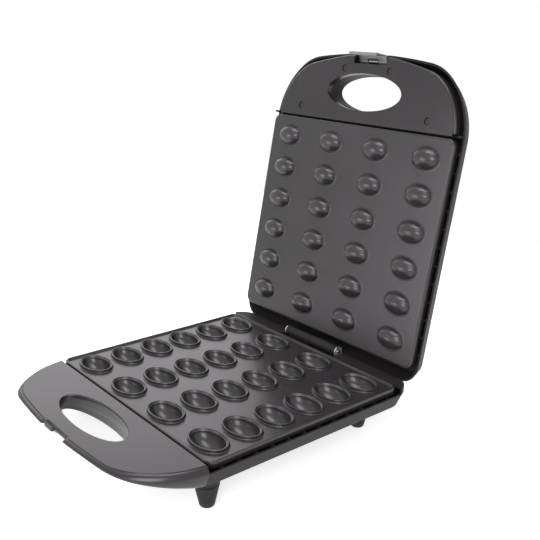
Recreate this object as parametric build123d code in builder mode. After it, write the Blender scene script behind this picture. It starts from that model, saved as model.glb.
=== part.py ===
from build123d import *

import math
import os

# Electric maker of walnut cakes, standing open. Everything is drawn with the lid closed, X across, Y from
# the grips to the hinge, and Z up from the parting plane, where the rings of the lower plate end. A side of
# -1 is the lower half and +1 the lid, and a depth is measured from the parting plane into that half.

# Cavities: columns across, rows from the grip to the hinge
COLUMNS = 4
ROWS = 6
COLUMN_PITCH = 62.0
ROW_PITCH = 34.15
CAVITY_LENGTH = 38.2
CAVITY_DEPTH = 12.5
CAVITY_FLOOR = 2.6
RING_WALL = 1.6
RING_HEIGHT = 4.0

# Domes of the lid plate
DOME_LENGTH = 30.9
DOME_WIDTH = 20.0
DOME_HEIGHT = 8.0

# Cast plates
PLATE_HALF_WIDTH = 122.0
PLATE_FRONT = -106.0
PLATE_BACK = 107.6
PLATE_CORNER = 8.0
PLATE_WEB = 2.8
PLATE_GAP = 0.3
SKIRT_DEPTH = 7.8
SKIRT_WALL = 3.0
BEAD_WIDTH = 2.2
BEAD_HEIGHT = 2.0
FACE_ROUND = 1.6
BOSS_DIAMETER = 9.0
BOSS_LENGTH = 9.2
PLATE_SCREWS = [(-62.0, -92.0), (62.0, -92.0), (-62.0, 95.0), (62.0, 95.0)]

# Housings: plan of three tangent arcs down each side of the grip, drafted walls, belly pan
HALF_WIDTH = 126.0
REAR_Y = 123.0
REAR_CORNER = 18.6
SHOULDER_Y = -103.0
GRIP_RADII = (73.0, 50.0)
GRIP_TURNS = (53.0, 82.3)
RIM_DEPTH = 8.0
SHELL_DEPTH = 24.0
SHELL_DRAFT = 24.0
SHELL_WALL = 2.0
EDGE_ROUND = 5.0
BELLY_HALF_WIDTH = 112.0
BELLY_FRONT = -98.0
BELLY_BACK = 106.0
BELLY_DEPTH = 30.5
BELLY_DRAFT = 20.0
BELLY_CORNER = 14.0
BELLY_ROUND = 3.0
LOCATING_RIBS = 12
LOCATING_PITCH = 17.0
LOCATING_WIDTH = 1.6
RIB_REACH = 5.0
RIB_HEIGHT = 6.0

# Grip panels and the opening of the grips
PANEL_DEPTH = 2.0
PANEL_THICKNESS = 2.5
PANEL_LEDGE = 1.5
PANEL_WALL = 2.0
PANEL_REAR = -107.6
PANEL_ROUND = 2.2
CORNER_RIB = 2.0
SEAM_GAP = 0.2
OPENING_Y = -138.0
OPENING_HALF_LENGTH = 49.6
OPENING_HALF_WIDTH = 18.0
COLLAR_WALL = 2.5
COLLAR_DEPTH = 8.0
SLOT_LEFT = -31.0
SLOT_RIGHT = 50.0
SLOT_HEIGHT = 5.0
PANEL_SCREWS = [(-85.6, -118.4), (85.6, -118.4), (-30.0, -160.0), (30.0, -160.0)]
PANEL_POST = 8.0
SCREW_RECESS = 7.0
SCREW_RECESS_DEPTH = 3.0

# Hinge at the back of the parting plane
HINGE_Y = 118.9
OPEN_ANGLE = 100.88
BARREL_DIAMETER = 10.0
PIN_DIAMETER = 4.0
PIN_FIT = 0.05
KNUCKLE_ENDS = (-43.0, -38.3, -7.9, 25.2, 31.0)
KNUCKLE_GAP = 0.4
WEB_HALF_WIDTH = 4.0
NOTCH_MARGIN = 3.0
NOTCH_DEPTH = 9.0
DECK_FRONT = 109.0
DECK_DEPTH = 2.0
DECK_WALL = 2.0
STOP_X = 75.0
STOP_WIDTH = 10.0
STOP_CLEARANCE = 0.2
STOP_DROP = 3.0
PIN_OVERHANG = 2.5
CLIP_THICKNESS = 1.2

# Latch on the lid's grip and catch on the lower grip
LATCH_HALF_WIDTH = 18.0
LATCH_PIVOT_Y = -169.3
LATCH_PIVOT_Z = 12.0
LATCH_OUTER_Y = -177.2
LATCH_THICKNESS = 2.9
LATCH_END_Z = -7.7
TOOTH_HEIGHT = 1.8
TOOTH_REACH = 2.0
LATCH_PIN_DIAMETER = 3.0
LATCH_SIDE_GAP = 1.2
WINDOW_DEPTH = 17.0
WINDOW_BACK = -165.5
CATCH_POCKET_Y = -171.8
CATCH_LEFT = -18.0
CATCH_RIGHT = -3.0
CATCH_HEIGHT = 2.8
CATCH_REACH = 2.1
CATCH_GAP = 0.3
NOTCH_SIDE = 25.0
SPRING_LENGTH = 12.0
SPRING_DIAMETER = 5.2

# Feet: front pair and rear pair, cones that stand on soft tips
FEET = {
    "front_foot_left": (22.0 - HALF_WIDTH, -95.0),
    "front_foot_right": (HALF_WIDTH - 22.0, -95.0),
    "rear_foot_left": (39.0 - HALF_WIDTH, 93.0),
    "rear_foot_right": (HALF_WIDTH - 39.0, 93.0),
}
FOOT_TOP_DIAMETER = 24.0
FOOT_TIP_DIAMETER = 12.0
PAD_HEIGHT = 5.0
PAD_ROUND = 2.5
STAND_HEIGHT = 51.0

# Heating and wiring
HEATER_DIAMETER = 6.6
HEATER_X = 62.0
HEATER_FRONT = -68.3
HEATER_BACK = 68.0
HEATER_BEND = 12.0
HEATER_PIN = 2.4
HEATER_PIN_LENGTH = 11.0
CLAMP_WIDTH = 10.0
CLAMP_SHEET = 1.2
REFLECTOR_SHEET = 0.6
REFLECTOR_HALF_WIDTH = 104.0
REFLECTOR_FRONT = -99.0
REFLECTOR_BACK = 102.0
REFLECTOR_LIP = 2.0
REFLECTOR_DROP = 1.5
SCREW_DIAMETER = 3.0
SCREW_HEAD = 6.0
SCREW_HEAD_HEIGHT = 2.2
SCREW_SEAT_DEPTH = 24.0
SCREW_FIT = 0.1
SCREW_GRIP = 6.0
POST_DIAMETER = 10.0
POST_SHOULDER = 14.0
BLOCK_Y = 70.0
BLOCK_SIZE = (26.0, 12.0, 8.0)
LEAD_DIAMETER = 2.4
GLAND_X = 60.0
GLAND_DEPTH = 15.0
GLAND_DIAMETER = 11.0
LAMP_X = 38.0
LAMP_Y = -116.0
LENS_DIAMETER = 6.0
LENS_HEAD = 1.4
LAMP_DIAMETER = 4.4
LAMP_LENGTH = 14.0
THERMOSTAT_DIAMETER = 16.0
THERMOSTAT_HEIGHT = 8.0
FUSE_DIAMETER = 4.0
FUSE_LENGTH = 12.0

# Sizes that follow from those above
LOWER, UPPER = -1, 1
BASE_BACK = RING_HEIGHT + PLATE_WEB
LID_BACK = PLATE_GAP + PLATE_WEB
RING_LENGTH = CAVITY_LENGTH + 2 * RING_WALL
RING_WIDTH = 2 * (CAVITY_DEPTH + RING_WALL)
PLATE_LENGTH = PLATE_BACK - PLATE_FRONT
PLATE_MIDDLE = (PLATE_BACK + PLATE_FRONT) / 2
BARREL_RADIUS = BARREL_DIAMETER / 2
LEAD_DROP_Y = HEATER_BACK + HEATER_PIN_LENGTH + 1.5 * LEAD_DIAMETER
NOTCH_LEFT = KNUCKLE_ENDS[0] - NOTCH_MARGIN
NOTCH_RIGHT = KNUCKLE_ENDS[4] + NOTCH_MARGIN


def level(side, depth):
    """Level plane at a depth from the parting plane."""
    return Plane.XY.offset(side * depth)


def outline(plane, inset=0.0, rear=None):
    """Plan of a half, inset from its outer wall and cut off square behind the rear line."""
    half = HALF_WIDTH - inset
    side_radius = GRIP_RADII[0] - inset
    corner_radius = GRIP_RADII[1] - inset
    first, second = (math.radians(turn) for turn in GRIP_TURNS)
    reach = half - side_radius * (1 - math.cos(first))
    reach -= corner_radius * (math.cos(first) - math.cos(second))
    with BuildSketch(plane) as plan:
        with BuildLine():
            back = Line((0, REAR_Y - inset), (half, REAR_Y - inset))
            flank = Line(back @ 1, (half, SHOULDER_Y))
            shoulder = JernArc(flank @ 1, (0, -1), side_radius, -GRIP_TURNS[0])
            corner = JernArc(shoulder @ 1, shoulder % 1, corner_radius, GRIP_TURNS[0] - GRIP_TURNS[1])
            JernArc(corner @ 1, corner % 1, reach / math.cos(second), GRIP_TURNS[1] - 90)
            mirror(about=Plane.YZ)
        make_face()
        if rear is None:
            back_row = plan.vertices().group_by(Axis.Y)[-1].sort_by(Axis.X)
            fillet([back_row[0], back_row[-1]], REAR_CORNER - inset)
        else:
            with Locations((0, rear)):
                far = 4 * HALF_WIDTH
                Rectangle(far, far, align=(Align.CENTER, Align.MAX), mode=Mode.INTERSECT)
    return plan.sketch


def moulding(side, inset=0.0, top=RIM_DEPTH):
    """A half as a block: drafted walls, a rounded edge and the belly pan."""
    with BuildPart() as block:
        extrude(outline(level(LOWER, top), inset), amount=inset + top - SHELL_DEPTH, taper=SHELL_DRAFT)
        fillet(block.edges().group_by(Axis.Z)[0], EDGE_ROUND - inset)
        with BuildSketch(level(LOWER, SHELL_DEPTH - inset)):
            with Locations((0, (BELLY_BACK + BELLY_FRONT) / 2)):
                RectangleRounded(
                    2 * (BELLY_HALF_WIDTH - inset),
                    BELLY_BACK - BELLY_FRONT - 2 * inset,
                    BELLY_CORNER - inset,
                )
        extrude(amount=SHELL_DEPTH - BELLY_DEPTH, taper=BELLY_DRAFT)
        fillet(block.edges().group_by(Axis.Z)[0], BELLY_ROUND - inset)
        if side == UPPER:
            mirror(about=Plane.XY, mode=Mode.REPLACE)
    return block.part


def opening(plane, grow=0.0):
    """Oval opening of a grip."""
    with BuildSketch(plane) as oval:
        with Locations((0, OPENING_Y)):
            Ellipse(OPENING_HALF_LENGTH + grow, OPENING_HALF_WIDTH + grow)
    return oval.sketch


def column(side, spots, start, end, diameter):
    """Round columns between two depths at the given spots."""
    with BuildPart() as columns:
        with BuildSketch(level(side, start)):
            with Locations(*spots):
                Circle(diameter / 2)
        extrude(amount=side * (end - start))
    return columns.part


def cuboid(side, x_range, y_range, depths):
    """Rectangular block between two depths."""
    with BuildPart() as box:
        with BuildSketch(level(side, depths[0])):
            with Locations(((x_range[0] + x_range[1]) / 2, (y_range[0] + y_range[1]) / 2)):
                Rectangle(x_range[1] - x_range[0], y_range[1] - y_range[0])
        extrude(amount=side * (depths[1] - depths[0]))
    return box.part


def half_shell(side, boss_end):
    """Housing of a half: walls, partition behind the grip, collar, locating ribs and screw posts."""
    shelf = boss_end + REFLECTOR_DROP + REFLECTOR_SHEET
    rib_x = HALF_WIDTH - SHELL_WALL - RIB_REACH / 2
    with BuildPart() as inside:
        add(
            cuboid(
                side,
                (-HALF_WIDTH, HALF_WIDTH),
                (PANEL_REAR - PANEL_WALL, PANEL_REAR),
                (RIM_DEPTH, SHELL_DEPTH),
            )
        )
        with BuildSketch(level(side, SKIRT_DEPTH)):
            with GridLocations(2 * rib_x, LOCATING_PITCH, 2, LOCATING_RIBS):
                Rectangle(RIB_REACH, LOCATING_WIDTH)
        extrude(amount=side * RIB_HEIGHT)
        add(column(side, PLATE_SCREWS, boss_end + SEAM_GAP, BELLY_DEPTH, POST_DIAMETER))
        add(column(side, PLATE_SCREWS, shelf, BELLY_DEPTH, POST_SHOULDER))
        add(column(side, PANEL_SCREWS, COLLAR_DEPTH, SHELL_DEPTH, PANEL_POST))
        add(moulding(side, SHELL_WALL / 2, SKIRT_DEPTH), mode=Mode.INTERSECT)
    with BuildPart() as shell:
        add(moulding(side))
        add(moulding(side, SHELL_WALL), mode=Mode.SUBTRACT)
        add(inside.part)
        extrude(
            opening(level(side, COLLAR_DEPTH + SEAM_GAP), COLLAR_WALL),
            amount=side * (SHELL_DEPTH - COLLAR_DEPTH - SHELL_WALL),
        )
        extrude(opening(level(side, 0)), amount=side * 2 * SHELL_DEPTH, mode=Mode.SUBTRACT)
        add(
            cuboid(
                side,
                (SLOT_LEFT, SLOT_RIGHT),
                (OPENING_Y, OPENING_Y + OPENING_HALF_WIDTH + COLLAR_WALL),
                (COLLAR_DEPTH, COLLAR_DEPTH + SLOT_HEIGHT),
            ),
            mode=Mode.SUBTRACT,
        )
        for hand in (-1, 1):
            inner = HALF_WIDTH - PANEL_LEDGE - CORNER_RIB
            reach = sorted((hand * inner, hand * (inner + CORNER_RIB)))
            add(cuboid(side, reach, (PANEL_REAR - CORNER_RIB, PANEL_REAR), (PANEL_DEPTH, RIM_DEPTH)))
        outer = BELLY_DEPTH + 1
        add(column(side, PLATE_SCREWS, 0, outer, SCREW_DIAMETER + 2 * SCREW_FIT), mode=Mode.SUBTRACT)
        add(column(side, PLATE_SCREWS, SCREW_SEAT_DEPTH, outer, SCREW_RECESS), mode=Mode.SUBTRACT)
    return shell.part


def grip_panel(side):
    """Panel that closes a grip: crowned edge, walls down to the rim and a collar round the opening."""
    face = -1 if side < 0 else 0
    wall = RIM_DEPTH - PANEL_DEPTH
    with BuildPart() as panel:
        extrude(outline(level(side, RIM_DEPTH), PANEL_LEDGE, PANEL_REAR), amount=-side * wall)
        fillet(panel.edges().group_by(Axis.Z)[face], PANEL_ROUND)
        extrude(
            outline(level(side, RIM_DEPTH), PANEL_LEDGE + PANEL_WALL, PANEL_REAR - PANEL_WALL),
            amount=-side * (wall - PANEL_THICKNESS),
            mode=Mode.SUBTRACT,
        )
        collar = opening(level(side, COLLAR_DEPTH), COLLAR_WALL)
        extrude(collar, amount=-side * (COLLAR_DEPTH - PANEL_DEPTH - 1))
        for hand in (-1, 1):
            inner = HALF_WIDTH - PANEL_LEDGE - CORNER_RIB - LOCATING_WIDTH
            reach = sorted((hand * inner, hand * HALF_WIDTH))
            add(
                cuboid(side, reach, (PANEL_REAR - CORNER_RIB - LOCATING_WIDTH, PANEL_REAR), (0, RIM_DEPTH)),
                mode=Mode.SUBTRACT,
            )
        extrude(opening(level(side, 0)), amount=side * RIM_DEPTH * 2, mode=Mode.SUBTRACT)
    return panel.part


def plate_plan(plane, inset=0.0):
    """Rounded plan of a cast plate."""
    with BuildSketch(plane) as plan:
        with Locations((0, PLATE_MIDDLE)):
            RectangleRounded(2 * (PLATE_HALF_WIDTH - inset), PLATE_LENGTH - 2 * inset, PLATE_CORNER - inset)
    return plan.sketch


def half_walnut(length, radius, height, side):
    """Lower or upper half of a long egg about an axis along X, drawn at the given height."""
    plane = Plane(origin=(0, 0, height), x_dir=(1, 0, 0), z_dir=(0, 0, 1))
    with BuildPart() as walnut:
        with BuildSketch(plane):
            Ellipse(length / 2, radius)
            Rectangle(length, radius, align=(Align.CENTER, Align.MIN), mode=Mode.INTERSECT)
        revolve(axis=Axis((0, 0, height), (1, 0, 0)), revolution_arc=180 * side)
    return walnut.part


def heater(side, back):
    """Bent tubular element against the back of a plate, with its cold pins."""
    plane = level(side, back + HEATER_DIAMETER / 2)
    with BuildPart() as element:
        with BuildLine(plane) as route:
            FilletPolyline(
                (HEATER_X, HEATER_BACK),
                (HEATER_X, HEATER_FRONT),
                (-HEATER_X, HEATER_FRONT),
                (-HEATER_X, HEATER_BACK),
                radius=HEATER_BEND,
            )
        with BuildSketch(Plane(origin=route.line @ 0, z_dir=route.line % 0)):
            Circle(HEATER_DIAMETER / 2)
        sweep()
        for x in (-HEATER_X, HEATER_X):
            with BuildSketch(Plane((x, HEATER_BACK, plane.origin.Z), z_dir=(0, 1, 0))):
                Circle(HEATER_PIN / 2)
            extrude(amount=HEATER_PIN_LENGTH)
    return element.part


def heater_clamps(side, back):
    """Straps over the element, screwed to the back of a plate."""
    bridge = HEATER_DIAMETER + 2 * CLAMP_SHEET
    spots = [(x, y) for x in (-HEATER_X, HEATER_X) for y in (-ROW_PITCH, ROW_PITCH)]
    with BuildPart() as clamps:
        for x, y in spots:
            with BuildSketch(Plane.XZ.offset(-y)):
                with Locations((x, side * (back + CLAMP_SHEET / 2))):
                    Rectangle(bridge + 2 * SCREW_HEAD, CLAMP_SHEET)
                with Locations((x, side * (back + bridge / 2 - CLAMP_SHEET / 2))):
                    Rectangle(bridge, bridge - CLAMP_SHEET)
                with Locations((x, side * (back + HEATER_DIAMETER / 2))):
                    Rectangle(HEATER_DIAMETER, HEATER_DIAMETER, mode=Mode.SUBTRACT)
            extrude(amount=CLAMP_WIDTH / 2, both=True)
        heads = [(x + hand * (bridge + SCREW_HEAD) / 2, y) for x, y in spots for hand in (-1, 1)]
        add(column(side, heads, back, back + CLAMP_SHEET + SCREW_HEAD_HEIGHT / 2, SCREW_HEAD - 1))
    return clamps.part


def reflector(side, boss_end):
    """Bright sheet tray between the element and the housing, seated on the posts' shoulders."""
    sheet = boss_end + REFLECTOR_DROP
    width = 2 * REFLECTOR_HALF_WIDTH
    middle = (REFLECTOR_BACK + REFLECTOR_FRONT) / 2
    depth = REFLECTOR_BACK - REFLECTOR_FRONT
    lead_holes = [(x, LEAD_DROP_Y) for x in (-HEATER_X, HEATER_X)]
    with BuildPart() as tray:
        with BuildSketch(level(side, sheet + REFLECTOR_SHEET)):
            with Locations((0, middle)):
                RectangleRounded(width, depth, PLATE_CORNER)
        extrude(amount=-side * REFLECTOR_LIP)
        with BuildSketch(level(side, sheet)):
            with Locations((0, middle)):
                RectangleRounded(
                    width - 2 * REFLECTOR_SHEET,
                    depth - 2 * REFLECTOR_SHEET,
                    PLATE_CORNER - REFLECTOR_SHEET,
                )
        extrude(amount=-side * REFLECTOR_LIP, mode=Mode.SUBTRACT)
        add(column(side, PLATE_SCREWS, 0, BELLY_DEPTH, POST_DIAMETER + 4 * SCREW_FIT), mode=Mode.SUBTRACT)
        add(column(side, lead_holes, 0, BELLY_DEPTH, 2 * LEAD_DIAMETER), mode=Mode.SUBTRACT)
    return tray.part


def screws(side, spots, seat, tip):
    """Pan head screws with the head beyond the seat and the tip nearer to the parting plane."""
    step = 1 if seat > tip else -1
    with BuildPart() as fasteners:
        add(column(side, spots, tip, seat, SCREW_DIAMETER))
        add(column(side, spots, seat, seat + step * SCREW_HEAD_HEIGHT, SCREW_HEAD))
    return fasteners.part


def terminal_block(side):
    """Connector block on the floor of a half, with a row of clamping screws."""
    length, width, height = BLOCK_SIZE
    floor = BELLY_DEPTH - SHELL_WALL
    with BuildPart() as connector:
        sides = (-length / 2, length / 2)
        ends = (BLOCK_Y - width / 2, BLOCK_Y + width / 2)
        add(cuboid(side, sides, ends, (floor - height, floor)))
        with BuildSketch(level(side, floor - height)):
            with Locations((0, BLOCK_Y)):
                with GridLocations(length / 3, width / 2, 3, 2):
                    Circle(SCREW_DIAMETER / 2)
        extrude(amount=side * height / 2, mode=Mode.SUBTRACT)
    return connector.part


def leads(side, back):
    """Two insulated leads from the element's pins down through the tray to the connector block."""
    start = side * (back + HEATER_DIAMETER / 2)
    low = side * (BELLY_DEPTH - SHELL_WALL - BLOCK_SIZE[2] / 2)
    with BuildPart() as wires:
        for hand in (-1, 1):
            with BuildLine() as route:
                FilletPolyline(
                    (hand * HEATER_X, HEATER_BACK + HEATER_PIN_LENGTH, start),
                    (hand * HEATER_X, LEAD_DROP_Y, start),
                    (hand * HEATER_X, LEAD_DROP_Y, low),
                    (hand * (BLOCK_SIZE[0] / 2 + 3 * LEAD_DIAMETER), BLOCK_Y, low),
                    (hand * BLOCK_SIZE[0] / 2, BLOCK_Y, low),
                    radius=LEAD_DIAMETER,
                )
            with BuildSketch(Plane(origin=route.line @ 0, z_dir=route.line % 0)):
                Circle(LEAD_DIAMETER / 2)
            sweep(path=route.line)
    return wires.part


def knuckle(start, end, side):
    """Barrel of the hinge between two stations along X with its web into a half."""
    with BuildPart() as piece:
        with BuildSketch(Plane.YZ.offset(start)):
            with Locations((HINGE_Y, 0)):
                Circle(BARREL_RADIUS)
            with Locations((HINGE_Y, side * (NOTCH_DEPTH + 1) / 2)):
                Rectangle(2 * WEB_HALF_WIDTH, NOTCH_DEPTH + 1)
        extrude(amount=end - start)
    return piece.part


with BuildPart() as pin_bore:
    with BuildSketch(Plane.YZ.offset(-HALF_WIDTH)):
        with Locations((HINGE_Y, 0)):
            Circle(PIN_DIAMETER / 2 + PIN_FIT)
    extrude(amount=2 * HALF_WIDTH)

# Depths where the plates' screw bosses end
base_boss_end = BASE_BACK + BOSS_LENGTH
lid_boss_end = LID_BACK + BOSS_LENGTH

# Lower housing: deck and stops behind the plate, notch and knuckles of the hinge, foot bosses, lead inlet
swing = math.radians(OPEN_ANGLE)
stop_y = HINGE_Y + RIM_DEPTH * math.sin(swing) - STOP_CLEARANCE
stop_y -= (DECK_DEPTH + STOP_DROP) * abs(math.cos(swing))
foot_narrowing = (FOOT_TOP_DIAMETER - FOOT_TIP_DIAMETER) / 2
foot_taper = math.degrees(math.atan(foot_narrowing / (STAND_HEIGHT - SHELL_DEPTH)))
gland_plane = Plane((GLAND_X, REAR_Y, -GLAND_DEPTH), x_dir=(1, 0, 0), z_dir=(0, 1, 0))
with BuildPart() as hinge_deck:
    extrude(outline(level(LOWER, RIM_DEPTH)), amount=RIM_DEPTH - DECK_DEPTH)
    extrude(
        outline(level(LOWER, RIM_DEPTH), SHELL_WALL),
        amount=RIM_DEPTH - DECK_DEPTH - DECK_WALL,
        mode=Mode.SUBTRACT,
    )
    add(
        cuboid(LOWER, (-HALF_WIDTH, HALF_WIDTH), (2 * PANEL_REAR, DECK_FRONT), (0, RIM_DEPTH)),
        mode=Mode.SUBTRACT,
    )
    add(
        cuboid(
            LOWER,
            (REAR_CORNER - HALF_WIDTH, HALF_WIDTH - REAR_CORNER),
            (DECK_FRONT, DECK_FRONT + DECK_WALL),
            (DECK_DEPTH, NOTCH_DEPTH + DECK_WALL),
        )
    )
    add(
        cuboid(
            LOWER,
            (NOTCH_LEFT - DECK_WALL, NOTCH_RIGHT + DECK_WALL),
            (DECK_FRONT, REAR_Y - SHELL_WALL),
            (DECK_DEPTH, NOTCH_DEPTH + DECK_WALL),
        )
    )
    for x in (-STOP_X, STOP_X):
        add(
            cuboid(
                LOWER,
                (x - STOP_WIDTH / 2, x + STOP_WIDTH / 2),
                (REAR_Y - SHELL_WALL, stop_y),
                (DECK_DEPTH + STOP_DROP, RIM_DEPTH),
            )
        )

with BuildPart() as base_shell:
    add(half_shell(LOWER, base_boss_end))
    add(hinge_deck.part)
    add(
        cuboid(LOWER, (NOTCH_LEFT, NOTCH_RIGHT), (DECK_FRONT - 1, REAR_Y + 1), (0, NOTCH_DEPTH)),
        mode=Mode.SUBTRACT,
    )
    add(knuckle(KNUCKLE_ENDS[1], KNUCKLE_ENDS[2] - KNUCKLE_GAP, LOWER))
    add(knuckle(KNUCKLE_ENDS[3] + KNUCKLE_GAP, KNUCKLE_ENDS[4], LOWER))
    with BuildSketch(level(LOWER, SHELL_DEPTH - SHELL_WALL)):
        with Locations(*FEET.values()):
            Circle(FOOT_TOP_DIAMETER / 2)
    extrude(amount=SHELL_WALL + SHELL_DEPTH - BELLY_DEPTH - SHELL_WALL - SHELL_WALL, taper=foot_taper)
    add(pin_bore.part, mode=Mode.SUBTRACT)
    add(
        column(
            LOWER,
            FEET.values(),
            SHELL_DEPTH,
            BELLY_DEPTH + 1,
            SCREW_DIAMETER + 2 * SCREW_FIT,
        ),
        mode=Mode.SUBTRACT,
    )
    with BuildSketch(gland_plane):
        Circle(GLAND_DIAMETER / 2 + SHELL_WALL + 1)
    extrude(amount=DECK_FRONT - REAR_Y)
    with BuildSketch(gland_plane):
        Circle(GLAND_DIAMETER / 2 + SCREW_FIT)
    extrude(amount=REFLECTOR_BACK - REAR_Y, mode=Mode.SUBTRACT)

# Lower grip panel: pocket that the latch swings into, with a slot for the catch
with BuildPart() as base_handle_panel:
    add(grip_panel(LOWER))
    pocket_half = LATCH_HALF_WIDTH + LATCH_SIDE_GAP
    add(
        cuboid(
            LOWER,
            (-pocket_half - PANEL_WALL, pocket_half + PANEL_WALL),
            (CATCH_POCKET_Y - PANEL_WALL / 2, CATCH_POCKET_Y + PANEL_WALL),
            (PANEL_DEPTH + PANEL_THICKNESS / 2, RIM_DEPTH),
        )
    )
    add(
        cuboid(LOWER, (-pocket_half, pocket_half), (2 * CATCH_POCKET_Y, CATCH_POCKET_Y), (0, RIM_DEPTH)),
        mode=Mode.SUBTRACT,
    )
    catch_top = -LATCH_END_Z - TOOTH_HEIGHT - CATCH_GAP - CATCH_HEIGHT
    add(
        cuboid(
            LOWER,
            (CATCH_LEFT + PANEL_WALL, CATCH_RIGHT - PANEL_WALL),
            (CATCH_POCKET_Y - 1, CATCH_POCKET_Y + PANEL_WALL + 1),
            (catch_top + CATCH_HEIGHT / 4, catch_top + CATCH_HEIGHT * 3 / 4),
        ),
        mode=Mode.SUBTRACT,
    )

# Catch: rounded lug under the panel's lip, held by its neck and a flange behind the wall
with BuildPart() as catch:
    with BuildSketch(level(LOWER, catch_top + CATCH_HEIGHT)):
        with Locations(((CATCH_LEFT + CATCH_RIGHT) / 2, CATCH_POCKET_Y)):
            Rectangle(CATCH_RIGHT - CATCH_LEFT, CATCH_REACH, align=(Align.CENTER, Align.MAX))
    extrude(amount=CATCH_HEIGHT)
    fillet(catch.edges().filter_by(Axis.Z).group_by(Axis.Y)[0], CATCH_REACH - 0.1)
    neck = (CATCH_POCKET_Y, CATCH_POCKET_Y + PANEL_WALL)
    add(
        cuboid(
            LOWER,
            (CATCH_LEFT + PANEL_WALL + SCREW_FIT, CATCH_RIGHT - PANEL_WALL - SCREW_FIT),
            neck,
            (catch_top + CATCH_HEIGHT / 4 + SCREW_FIT, catch_top + CATCH_HEIGHT * 3 / 4 - SCREW_FIT),
        )
    )
    add(
        cuboid(
            LOWER,
            (CATCH_LEFT, CATCH_RIGHT),
            (neck[1], neck[1] + PANEL_WALL / 2),
            (PANEL_DEPTH + PANEL_THICKNESS, RIM_DEPTH),
        )
    )

# Lower plate: bead round the edge, 24 ringed cavities and their cast undersides
with BuildPart() as underside:
    with BuildSketch(level(LOWER, BASE_BACK - PLATE_WEB / 2)):
        Ellipse(CAVITY_LENGTH / 2, CAVITY_DEPTH + CAVITY_FLOOR / 4)
    with BuildSketch(level(LOWER, CAVITY_DEPTH + CAVITY_FLOOR)):
        Ellipse(CAVITY_LENGTH / 4 + CAVITY_FLOOR, CAVITY_DEPTH / 2)
    loft()

with BuildPart() as base_plate:
    extrude(plate_plan(level(LOWER, SKIRT_DEPTH)), amount=SKIRT_DEPTH - RING_HEIGHT + BEAD_HEIGHT)
    fillet(base_plate.edges().group_by(Axis.Z)[-1], BEAD_WIDTH / 3)
    extrude(plate_plan(level(LOWER, RING_HEIGHT), BEAD_WIDTH), amount=RING_HEIGHT, mode=Mode.SUBTRACT)
    extrude(
        plate_plan(level(LOWER, SKIRT_DEPTH), SKIRT_WALL),
        amount=SKIRT_DEPTH - BASE_BACK,
        mode=Mode.SUBTRACT,
    )
    with BuildSketch(level(LOWER, BASE_BACK)):
        with GridLocations(COLUMN_PITCH, ROW_PITCH, COLUMNS, ROWS):
            Ellipse(RING_LENGTH / 2, RING_WIDTH / 2)
    extrude(amount=BASE_BACK)
    with GridLocations(COLUMN_PITCH, ROW_PITCH, COLUMNS, ROWS):
        add(underside.part)
        add(half_walnut(CAVITY_LENGTH, CAVITY_DEPTH, 0, LOWER), mode=Mode.SUBTRACT)
    add(column(LOWER, PLATE_SCREWS, BASE_BACK - 1, base_boss_end, BOSS_DIAMETER))
    add(
        column(
            LOWER,
            PLATE_SCREWS,
            base_boss_end - SCREW_GRIP,
            base_boss_end + 1,
            SCREW_DIAMETER + SCREW_FIT,
        ),
        mode=Mode.SUBTRACT,
    )

# Lid plate: rounded face with 24 low domes
dome_radius = (DOME_WIDTH**2 / 4 + DOME_HEIGHT**2) / (2 * DOME_HEIGHT)
dome_rise = dome_radius - DOME_HEIGHT
dome_length = DOME_LENGTH / math.sqrt(1 - (dome_rise / dome_radius) ** 2)
with BuildPart() as lid_plate:
    extrude(plate_plan(level(UPPER, PLATE_GAP)), amount=SKIRT_DEPTH - PLATE_GAP)
    fillet(lid_plate.edges().group_by(Axis.Z)[0], FACE_ROUND)
    extrude(plate_plan(level(UPPER, LID_BACK), SKIRT_WALL), amount=SKIRT_DEPTH, mode=Mode.SUBTRACT)
    with GridLocations(COLUMN_PITCH, ROW_PITCH, COLUMNS, ROWS):
        add(half_walnut(dome_length, dome_radius, PLATE_GAP + dome_rise, LOWER))
    add(column(UPPER, PLATE_SCREWS, LID_BACK - 1, lid_boss_end, BOSS_DIAMETER))
    add(
        column(UPPER, PLATE_SCREWS, lid_boss_end - SCREW_GRIP, lid_boss_end + 1, SCREW_DIAMETER + SCREW_FIT),
        mode=Mode.SUBTRACT,
    )

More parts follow.
